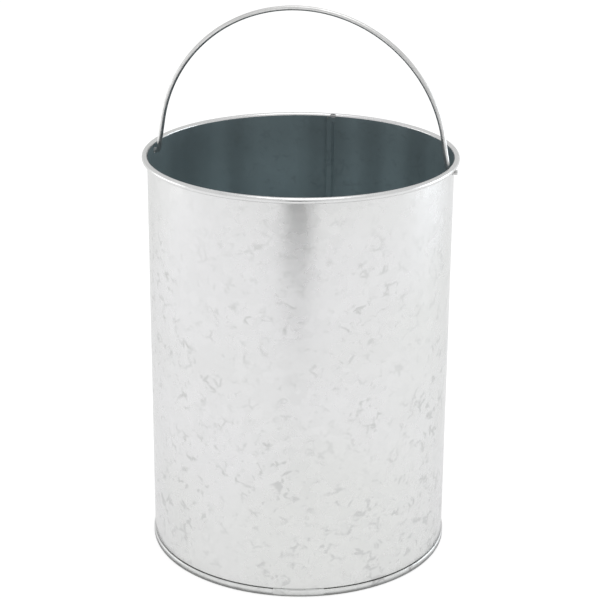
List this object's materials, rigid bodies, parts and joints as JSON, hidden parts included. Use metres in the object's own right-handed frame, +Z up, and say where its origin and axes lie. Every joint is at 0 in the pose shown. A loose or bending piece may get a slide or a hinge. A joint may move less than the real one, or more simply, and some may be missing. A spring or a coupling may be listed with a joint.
{
  "type": "florist bucket",
  "caption": "Straight-sided galvanised steel bucket with a wired rim, double-seamed bottom, lock-seamed wall and a swinging wire bail.",
  "frame": {"origin": "centre of the base, on the ground", "axes": "+Z up along the bucket's axis; X along the bail's hinge line; +Y towards the wall's lock seam, which stands 2.3 degrees from it"},
  "size_m": [0.2586, 0.2584, 0.4604],
  "materials": {
    "galvanised_sheet": "hot-dip galvanised, fine spangle, satin",
    "bottom_sheet": "hot-dip galvanised, satin",
    "rim_wire_steel": "plain drawn wire, hidden in the rim",
    "bail_wire_steel": "bright drawn and zinc-plated wire",
    "seam_compound": "dull sealing compound"
  },
  "bodies": {
    "bucket": {"body_shell": "galvanised_sheet", "rim_wire": "rim_wire_steel", "bottom_disc": "bottom_sheet", "bottom_seam_seal": "seam_compound", "side_seam_seal": "seam_compound"},
    "handle": {"bail": "bail_wire_steel"}
  },
  "joints": [
    {"name": "bail_swing", "type": "hinge", "parent": "bucket", "child": "handle", "pos_m": [0, 0, 0.3321], "axis": [1, 0, 0], "range_deg": [-85.4, 81.6]}
  ]
}
